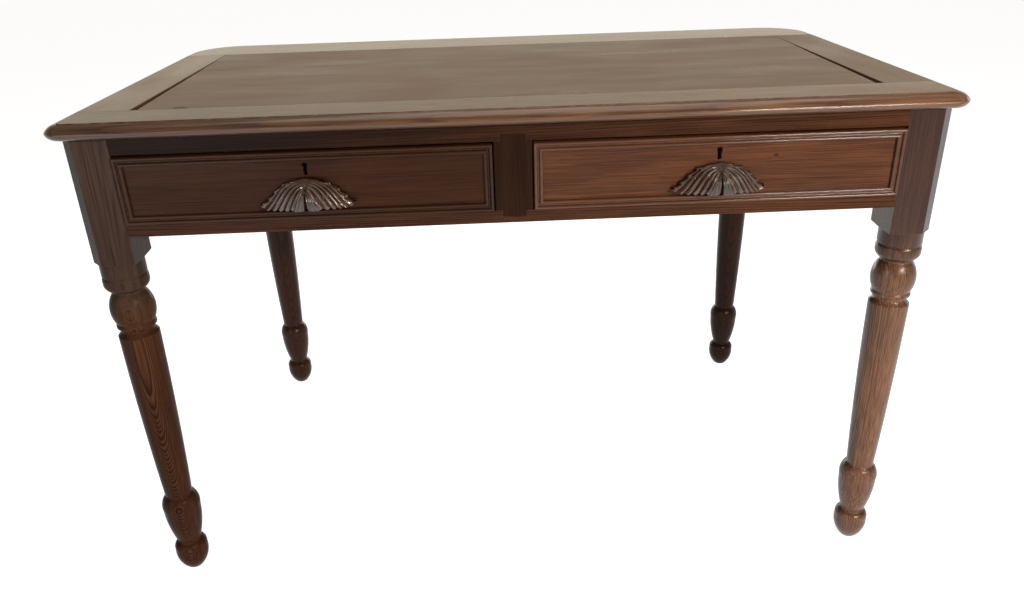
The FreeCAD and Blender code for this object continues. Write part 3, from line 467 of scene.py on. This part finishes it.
# Where the first and the last rib lie, as b in leaf_pull. Inside the first, the leaf is a plain lobe.
LOBE, LAST_RIB = 0.24, 0.95
# Half widths of a rib, its groove and its notch in b, and how far the last two lie beside the rib.
RIB_HALF, GROOVE_HALF, NOTCH_HALF = 0.028, 0.026, 0.035
GROOVE_BESIDE, NOTCH_BESIDE = 0.055, 0.03
# Veins in the lobe and between the ribs: half waves to one unit of b, and depth in millimetres.
LOBE_VEINS, RIB_VEINS = (25, 1.3), (50, 0.5)
# b where the toothed upper edge starts, t where a ray reaches the brow, and the t that curls back below.
EDGE_START, BROW_AT, CURL_SPAN = 0.84, 0.8, 0.2
# Depths in millimetres: the upper edge, the crown and what it loses outwards, and the room that the
# brow leaves free.
EDGE_DEPTH, CROWN_DEPTH, CROWN_LOSS, BROW_SPARE = 7.0, 16.0, 8.0, 0.5
# Thinnest wood, and the half width, half height and depth of a boss, in millimetres.
LEAST_WOOD = 2.2
BOSS_HALF_WIDTH, BOSS_HALF_HEIGHT, BOSS_DEPTH = 7, 6, 11.4


def leaf_pull(low, high, settings):
    """Two leaves that droop from one stem, as a front sheet and a hollow back on the same grid.

    a runs from the left leaf's upper edge (-1) over the middle (0) to the right one's (1), and t
    from the stem (0) down to the lower edge (1). b is the size of a to the ray power. A ray of
    constant a is a cubic Bezier curve that leaves the stem lower down the nearer it is to the
    middle, and whose control points go, in step with b, from a plumb line to an arch over the
    shoulder and out to the tip. The depth climbs along a ray by a sine, from the crown to the brow
    of the leaf, which falls off as a cosine towards the upper edge. A rib is a bell curve of b with
    a groove beside it, veins are a fine sine of b between the ribs, the lower edge is notched at
    each groove, and teeth are a saw of t at the upper edge. A boss, a bell curve in width and
    height, thickens each leaf where a screw holds it. The back lies on the drawer above and follows
    the front, a wall behind it, below.
    """
    width, reach, height = ((high[i] - low[i]) / MM for i in range(3))
    a = np.linspace(-1, 1, LEAF_RAYS)[:, None]
    t = np.linspace(0, 1, LEAF_STEPS)[None, :]
    hand = np.sign(a)
    b = np.abs(a) ** RAY_POWER
    inner = 1 - b
    in_lobe = b < LOBE
    upper_edge = smooth(EDGE_START, 1.0, b)

    # Ribs, grooves and veins, which waver and differ a little between the two leaves.
    ribs = np.linspace(LOBE, LAST_RIB, settings.ridges)[:, None, None]
    shift = b + 0.02 * np.sin(7 * b + 1.3 * hand) - ribs
    sway = shift + 0.02 * np.sin(4 * t + 5 * b)
    rib = bell(RIB_HALF, sway).sum(axis=0)
    groove = bell(GROOVE_HALF, sway - GROOVE_BESIDE).sum(axis=0)
    notch = bell(NOTCH_HALF, shift - NOTCH_BESIDE).sum(axis=0)
    vein_waves, vein_depth = (np.where(in_lobe, *pair) for pair in zip(LOBE_VEINS, RIB_VEINS))
    vein = 0.5 + 0.5 * np.sin(vein_waves * np.pi * b)

    # Rays, seen from the front. Lift is how far the lower edge stays above the foot, in millimetres.
    lift = 0.3 + 4 * bell(0.02, b) + 5 * upper_edge
    lift = lift + 3.0 * notch * smooth(1.02, 0.9, b)
    tip = width / 2 - 0.2
    stem = 0.36 * inner ** 1.4
    steps_x = tip * np.stack([0 * b, 0.64 * b ** 1.05, 0.74 * b, b ** 0.85])
    steps_z = -height * np.stack([
        stem, 0.02 + stem * (0.86 + 0.14 * inner ** 2), 0.6 + 0.1 * b, 1 - lift / height])
    weights = np.stack([(1 - t) ** 3, 3 * t * (1 - t) ** 2, 3 * t ** 2 * (1 - t), t ** 3])
    x = (steps_x * weights).sum(axis=0)
    z = height + (steps_z * weights).sum(axis=0)

    saw = np.mod(t * settings.teeth + 0.3, 1.0) ** 1.5 - 0.4
    tooth = settings.tooth_depth / MM * saw * smooth(0.12, 0.3, t) * smooth(1.0, 0.94, t) * upper_edge
    x = hand * (x + 0.5 * tooth)
    z = z + 0.85 * tooth - 0.6 * upper_edge * smooth(0, 0.1, t) * smooth(1, 0.9, t)

    # Depth in front of the drawer, in millimetres.
    brow = EDGE_DEPTH + (reach - (EDGE_DEPTH + BROW_SPARE)) * np.cos(np.pi / 2 * b) ** 0.8
    crown = CROWN_DEPTH - CROWN_LOSS * b
    climb = np.sin(np.pi / 2 * np.clip(t / BROW_AT, 0, 1))
    curl = 1 - 0.1 * np.clip((t - BROW_AT) / CURL_SPAN, 0, 1) ** 2 * smooth(1.0, 0.5, b)
    body = (crown + (brow - crown) * climb) * curl
    body = body * (1 - 0.5 * bell(0.014, b) * smooth(0.2, 0.5, t))
    bulge = 1.6 * np.sin(np.pi * np.clip(b / LOBE, 0, 1)) - 0.8
    ridge = 0.55 * rib * (1 + 0.3 * np.sin(13 * t + 40 * b)) - 0.7 * groove
    flute = settings.ridge_depth / MM * ridge + bulge + vein_depth * (vein - 1)
    flute = flute * smooth(0.05, 0.4, t) * smooth(1.04, 0.94, b)
    gouge = 0.9 * (saw + 0.4) * smooth(0.66, 0.95, b) * smooth(0.1, 0.3, t)
    body = np.clip(body + flute - gouge, LEAST_WOOD, reach)
    aside = (np.abs(x) - settings.boss_out / MM) / BOSS_HALF_WIDTH
    below = (height - z - settings.boss_drop / MM) / BOSS_HALF_HEIGHT
    boss = BOSS_DEPTH * np.exp(-(aside ** 2 + below ** 2) ** 2)
    body = np.clip((body ** 8 + boss ** 8) ** 0.125, LEAST_WOOD, reach)

    wall = settings.wall / MM * (1 - 0.6 * smooth(0.75, 1.0, t))
    hollow = np.clip(body - wall, 0, None) * smooth(0.42, 0.7, t) * smooth(0.9, 0.72, b)

    middle = (low[0] + high[0]) / 2 / MM
    plate = high[1] / MM
    foot = low[2] / MM
    front = np.stack([middle + x, plate - body, foot + z], axis=-1)
    rear = np.stack([middle + x, plate - hollow, foot + z], axis=-1)
    points = np.concatenate([front.reshape(-1, 3), rear.reshape(-1, 3)]) * MM
    index = np.arange(LEAF_RAYS * LEAF_STEPS).reshape(LEAF_RAYS, LEAF_STEPS)
    behind = index + index.size

    def sheet(grid):
        """The quads of a grid of points."""
        corners = [grid[:-1, :-1], grid[:-1, 1:], grid[1:, 1:], grid[1:, :-1]]
        return np.stack(corners, axis=-1).reshape(-1, 4)

    def rim(near, far):
        """The quads between two rows of points."""
        return np.stack([near[:-1], far[:-1], far[1:], near[1:]], axis=-1)

    quads = np.concatenate([
        sheet(index), sheet(behind)[:, ::-1], rim(index[:, -1], behind[:, -1]),
        rim(index[0], behind[0]), rim(index[-1], behind[-1])[:, ::-1],
    ])
    # The colour mask: ribs paler, as rubbed wood and as a painted highlight, grooves darker, and the inner
    # lobes a little darker as painted shade.
    carving = 0.7 * rib - 0.3 * groove + 0.3 * (vein - 0.5)
    rub_and_highlight = 0.3 + carving * smooth(0.0, 0.25, t) - 0.05 * smooth(0.28, 0.16, b)
    return points, quads, np.concatenate([rub_and_highlight.reshape(-1), np.zeros(rub_and_highlight.size)])


# How each varnished piece of the frame was sawn, and how dark it is: its stain, and partly painted shade
# on the rear legs. The front legs carry painted light on the right leg's shaft and painted shade on its
# post, a painted bluish sheen on the left leg's upper part, and painted shade on their sides turned from
# the light.
LEGS = {
    "leg_front_left": {
        "heart": (-135, -30), "ring": 1.1, "bend": 2.5, "figure": 1.1, "shade": 0.74, "level": 0.03,
        "tint_and_sheen": (1.0, 1.08, 1.25), "painted_light": ("Z", 460, 530, (1, 1, 1), (0.72, 1.1, 1.65)),
        "bow": (420, 2.6, 480), "sun": ((0.45, -0.89, 0), 0.4)},
    "leg_front_right": {
        "heart": (-20, 150), "ring": 1.6, "bend": 5, "figure": 1.0, "shade": 1.0, "level": 0.32,
        "fine": 2.6, "tint_and_sheen": (1.0, 1.0, 1.1),
        "painted_light": ("Z", 460, 580, (2.1, 2.65, 2.9), (0.44, 0.4, 0.42)), "sun": ((-0.35, -0.94, 0), 0.25)},
    "leg_rear_left": {
        "heart": (150, 50), "ring": 1.6, "bend": 5, "figure": 0.6, "shade": 0.36, "level": 0.12},
    "leg_rear_right": {
        "heart": (166, -30), "ring": 1.6, "bend": 5, "figure": 0.6, "shade": 0.2, "level": 0.1},
}
# The rails are painted darker towards the left as painted shade, and the stile's darkness is partly
# painted shade.
RAILS = {
    "front_top_rail": {
        "heart": (40, 120), "ring": 3.0, "bend": 10, "figure": 0.6, "shade": 0.5, "level": 0.08,
        "fine": 1.5, "painted_light": ("X", -500, 400, (0.22, 0.2, 0.2), (1.1, 1.1, 1.1))},
    "front_bottom_rail": {
        "heart": (60, -90), "ring": 3.2, "bend": 12, "figure": 0.7, "shade": 0.6, "level": 0.1,
        "fine": 1.5, "painted_light": ("X", -500, 400, (0.75, 0.72, 0.72), (1.1, 1.1, 1.1))},
    "front_centre_stile": {
        "grain": "Z", "heart": (30, 160), "ring": 2.4, "bend": 5, "figure": 0.4, "shade": 0.22,
        "level": 0.06},
    "end_apron_left": {"grain": "Y", "heart": (90, 60), "ring": 3.0, "shade": 0.7},
    "end_apron_right": {"grain": "Y", "heart": (-90, 80), "ring": 3.0, "shade": 0.9},
    "back_apron": {"heart": (-80, 60), "ring": 3.0, "shade": 0.8},
}
INSIDE = ("runner_left", "runner_centre", "runner_right", "guide_left", "guide_centre", "guide_right",
          "kicker_left", "kicker_centre", "kicker_right", "drawer_stops", "top_buttons")


class TABLE_OT_finish_frame(bpy.types.Operator):
    """Varnishes the legs, rails and aprons, and leaves the strips inside bare"""

    bl_idname = "writing_table.finish_frame"
    bl_label = "Finish the frame"

    def execute(self, context):
        finish = context.scene.table_finish
        tones = (finish.frame_early, finish.frame_late)
        for name, sawn in LEGS.items():
            dress(name, pine("varnished_pitch_pine_" + name, name, tones, grain="Z", **sawn))
            soften(name, width=0.6 * MM)
        for name, sawn in RAILS.items():
            dress(name, pine("varnished_pitch_pine_" + name, name, tones, **sawn))
            soften(name, width=0.5 * MM)
        bare = (finish.bare_early, finish.bare_late)
        for name in INSIDE:
            grain = "X" if name == "drawer_stops" else "Y"
            dress(name, pine("sawn_pine_" + name, name, bare, grain,
                             heart=(35, 20), ring=3.0, gloss=0.7, worn=0))
        return {"FINISHED"}


# How each piece of the top was sawn, and how smooth its varnish is. The front strip is painted darker
# towards the left and paler towards the right, as painted shade and light.
TOP = {
    "top_front_strip": {
        "heart": (18, -64), "ring": 3.0, "bend": 8, "figure": 0.7, "gloss": 0.18, "fine": 2.2,
        "arris": 3.0, "painted_light": ("X", -600, 300, (0.7, 0.7, 0.75), (1.25, 1.25, 1.3))},
    "top_rear_strip": {"heart": (10, -80), "ring": 3.0, "bend": 8, "figure": 0.4, "gloss": 0.1},
    "top_end_left": {
        "grain": "Y", "heart": (12, -58), "ring": 3.0, "bend": 8, "figure": 0.4, "gloss": 0.2},
    "top_end_right": {
        "grain": "Y", "heart": (-18, -70), "ring": 3.0, "bend": 8, "figure": 0.4, "gloss": 0.28},
    "top_board_front": {
        "heart": (24, -74), "ring": 3.2, "bend": 8, "figure": 0.5, "gloss": 0.31,
        "knots": ((-455, -250, 762, 7.0),)},
    "top_board_middle": {"heart": (-15, -62), "ring": 3.2, "bend": 8, "figure": 0.5, "gloss": 0.31},
    "top_board_rear": {"heart": (40, -90), "ring": 3.2, "bend": 8, "figure": 0.5, "gloss": 0.31},
}


class TABLE_OT_finish_top(bpy.types.Operator):
    """Varnishes the boards and strips of the top"""

    bl_idname = "writing_table.finish_top"
    bl_label = "Finish the top"

    def execute(self, context):
        finish = context.scene.table_finish
        tones = (finish.top_early, finish.top_late)
        for name, sawn in TOP.items():
            dress(name, pine("varnished_pitch_pine_" + name, name, tones, level=0.5, **sawn))
            soften(name, width=0.5 * MM)
        return {"FINISHED"}


# How each drawer front was sawn and stained, and how strongly its moulding shines. The left front is
# darker than the right one partly as painted shade, where less light falls on it.
FRONTS = {
    "drawer_left": {
        "heart": (40, 210), "ring": 2.2, "bend": 6, "figure": 0.6, "shade": 0.34, "level": 0.1,
        "fine": 1.5, "tint_and_sheen": (1, 0.96, 0.9)},
    "drawer_right": {
        "heart": (-30, 260), "ring": 2.0, "bend": 5, "figure": 0.7, "shade": 0.84, "level": 0.16,
        "fine": 2.2, "knots": ((355, -328, 686, 2.5),)},
}
MOULDING_LEVEL = {"drawer_left": 0.2, "drawer_right": 0.45}


class TABLE_OT_finish_drawers(bpy.types.Operator):
    """Varnishes the drawer fronts and mouldings, and leaves the drawer boxes bare"""

    bl_idname = "writing_table.finish_drawers"
    bl_label = "Finish the drawers"

    def execute(self, context):
        finish = context.scene.table_finish
        tones = (finish.drawer_early, finish.drawer_late)
        bare = (finish.bare_early, finish.bare_late)
        for drawer, sawn in FRONTS.items():
            name = drawer + "_front"
            dress(name, pine("varnished_pitch_pine_" + name, name, tones, **sawn))
            soften(name, width=0.4 * MM)
            name = drawer + "_moulding"
            dress(name, pine("varnished_pitch_pine_" + name, name, tones, figure=0.0, gloss=0.18,
                             worn=0.4, shade=0.8 * sawn["shade"], level=MOULDING_LEVEL[drawer]))
            for part in ("side_left", "side_right", "back", "bottom"):
                name = f"{drawer}_{part}"
                grain = "Y" if part.startswith("side") else "X"
                dress(name, pine("planed_pine_" + name, name, bare, grain,
                                 heart=(40, 26), ring=3.0, gloss=0.65, worn=0))
        return {"FINISHED"}


class TABLE_OT_carve_pulls(bpy.types.Operator):
    """Carves the pair of leaf pulls"""

    bl_idname = "writing_table.carve_pulls"
    bl_label = "Carve the pulls"

    def execute(self, context):
        settings = context.scene.table_pulls
        wood = carved_wood("polished_carved_fruitwood")
        for drawer in DRAWERS:
            node = drawer + "_pull"
            points, quads, rub_and_highlight = leaf_pull(*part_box(node), settings)
            mesh, first = closed_mesh(drawer + "_carved_pull", points, quads)
            ridge = mesh.attributes.new("ridge", "FLOAT", "POINT")
            ridge.data.foreach_set("value", rub_and_highlight[first].astype(np.float32))
            mesh.materials.append(wood)
            pull = bpy.data.objects.new(drawer + "_carved_pull", mesh)
            context.scene.collection.objects.link(pull)
            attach(pull, drawer)
            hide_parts(node)
        return {"FINISHED"}


class TABLE_OT_finish_metal(bpy.types.Operator):
    """Gives the locks and screws their metals"""

    bl_idname = "writing_table.finish_metal"
    bl_label = "Finish the metal"

    def execute(self, context):
        lock = brass("tarnished_and_shaded_brass_lock")
        screw = steel("rusted_steel_screws")
        for drawer in DRAWERS:
            dress(drawer + "_lock_case", lock)
            dress(drawer + "_lock_bolt", lock)
            dress(drawer + "_pull_screws", screw)
        dress("top_screws", screw)
        return {"FINISHED"}


# Name, place, aim and size in metres, power in watts and colour of each lamp.
LAMPS = (
    ("window_right", (1.25, -2.1, 1.4), (0.1, -0.3, 0.6), (0.6, 0.26), 44, "FFF8EE"),
    ("key_left", (-1.2, -1.7, 0.8), (0.5, -0.3, 0.4), (1.6, 1.2), 9, "E6EEFF"),
    ("rim_right", (2.2, 0.5, 0.9), (0.5, -0.2, 0.5), (0.4, 1.0), 4, "A9C8FF"),
    ("overhead", (0.2, 0.5, 3.0), (0, 0.1, 0.7), (2.4, 2.4), 30, "FFF9F0"),
    ("low_back", (0, 2.2, 0.3), (0, 0.3, 0.45), (2.0, 0.3), 14, "FFF9F0"),
)
# Half width of the floor, and the hair by which it lies below the feet.
FLOOR_REACH, FLOOR_DROP = 40.0, 0.3 * MM
# How bright the floor shows of itself, and how much light the air of the room gives.
FLOOR_GLOW, AIR_LIGHT = 0.84, 0.22


def background_rays(tree):
    """1 for rays that show the background, straight, mirrored or through glass, and 0 for light."""
    rays = add(tree, "LightPath").outputs
    seen = add(tree, "Math", {"operation": "ADD"},
               {0: rays["Is Camera Ray"], 1: rays["Is Glossy Ray"]}).outputs[0]
    return add(tree, "Math", {"operation": "ADD", "use_clamp": True},
               {0: seen, 1: rays["Is Transmission Ray"]}).outputs[0]


def lay_floor(scene, colour):
    """A floor painted pale and matt, which shows nearly white and keeps the shadow of the table."""
    mesh = bpy.data.meshes.new("studio_floor")
    corners = np.array([(-1, -1, 0), (1, -1, 0), (1, 1, 0), (-1, 1, 0)]) * FLOOR_REACH
    mesh.from_pydata(corners - (0, 0, FLOOR_DROP), [], [(0, 1, 2, 3)])
    floor = bpy.data.objects.new("studio_floor", mesh)
    scene.collection.objects.link(floor)
    material, tree = blank_material("painted_studio_floor")
    seen = background_rays(tree)
    glow = add(tree, "Math", {"operation": "MULTIPLY"}, {0: seen, 1: FLOOR_GLOW}).outputs[0]
    shader = add(tree, "BsdfPrincipled", None, {
        "Base Color": colour, "Roughness": 0.9, "Specular IOR Level": 0.1,
        "Emission Color": linear("FFFFFF"), "Emission Strength": glow})
    add(tree, "OutputMaterial", None, {"Surface": shader.outputs[0]})
    mesh.materials.append(material)


def fill_air(scene):
    """Dim light from all sides, and a room for the varnish to mirror: pale below, greyer higher up."""
    world = bpy.data.worlds.new("studio_air")
    world.use_nodes = True
    tree = world.node_tree
    tree.nodes.clear()
    seen = background_rays(tree)
    way = add(tree, "TexCoord").outputs["Generated"]
    rise = add(tree, "SeparateXYZ", None, {0: way}).outputs[2]
    wall = add(tree, "ValToRGB", None, {"Fac": rise})
    stops = wall.color_ramp.elements
    stops[0].position, stops[0].color = 0.12, linear("F6EDDA")
    stops[1].position, stops[1].color = 0.4, linear("8F877B")
    stops.new(0.17).color = linear("DACDB4")
    dim = add(tree, "Background", None, {"Color": linear("F2EEE8"), "Strength": AIR_LIGHT})
    pale = add(tree, "Background", None, {"Color": wall.outputs["Color"], "Strength": 1.0})
    both = add(tree, "MixShader", None, {0: seen, 1: dim.outputs[0], 2: pale.outputs[0]})
    add(tree, "OutputWorld", None, {"Surface": both.outputs[0]})
    scene.world = world


def hang_lamps(scene):
    """Rectangular lamps, each turned to its aim."""
    for name, place, target, size, power, colour in LAMPS:
        lamp = bpy.data.lights.new(name, "AREA")
        lamp.shape = "RECTANGLE"
        lamp.size, lamp.size_y = size
        lamp.energy = power
        lamp.color = linear(colour)[:3]
        item = bpy.data.objects.new(name, lamp)
        scene.collection.objects.link(item)
        item.location = place
        aim = np.array(target) - np.array(place)
        turn = math.atan2(aim[1], aim[0]) - math.pi / 2
        item.rotation_euler = (math.pi / 2 + math.atan2(aim[2], math.hypot(*aim[:2])), 0, turn)


class TABLE_OT_set_stage(bpy.types.Operator):
    """Sets the floor, the light and the camera"""

    bl_idname = "writing_table.set_stage"
    bl_label = "Set the stage"

    def execute(self, context):
        scene = context.scene
        stage = scene.table_stage
        scene.view_settings.view_transform = "Standard"
        lay_floor(scene, tuple(stage.floor))
        fill_air(scene)
        hang_lamps(scene)
        lens = bpy.data.cameras.new("camera")
        lens.lens = stage.camera_lens
        camera = bpy.data.objects.new("camera", lens)
        scene.collection.objects.link(camera)
        camera.location = stage.camera_place
        camera.rotation_euler = stage.camera_turn
        scene.camera = camera
        return {"FINISHED"}


class TABLE_PT_writing_table(bpy.types.Panel):
    """Shows the settings of the writing table and lists the steps that dress it"""

    bl_label = "Writing table"
    bl_idname = "TABLE_PT_writing_table"
    bl_space_type = "VIEW_3D"
    bl_region_type = "UI"
    bl_category = "Writing table"

    def draw(self, context):
        for group in GROUPS:
            box = self.layout.box()
            settings = getattr(context.scene, group)
            for name in settings.__annotations__:
                box.prop(settings, name)
        for step in STEPS:
            self.layout.operator(step.bl_idname)


GROUPS = {"table_finish": FinishSettings, "table_pulls": PullSettings, "table_stage": StageSettings}
STEPS = (TABLE_OT_finish_frame, TABLE_OT_finish_top, TABLE_OT_finish_drawers,
         TABLE_OT_carve_pulls, TABLE_OT_finish_metal, TABLE_OT_set_stage)


def register():
    """Adds the settings, steps and panel."""
    for name, group in GROUPS.items():
        bpy.utils.register_class(group)
        setattr(bpy.types.Scene, name, bpy.props.PointerProperty(type=group))
    for item in (*STEPS, TABLE_PT_writing_table):
        bpy.utils.register_class(item)


def unregister():
    """Removes them again."""
    for item in (TABLE_PT_writing_table, *reversed(STEPS)):
        bpy.utils.unregister_class(item)
    for name, group in reversed(GROUPS.items()):
        delattr(bpy.types.Scene, name)
        bpy.utils.unregister_class(group)


def main():
    register()
    for step in STEPS:
        group, name = step.bl_idname.split(".")
        getattr(getattr(bpy.ops, group), name)()


if __name__ == "__main__":
    main()
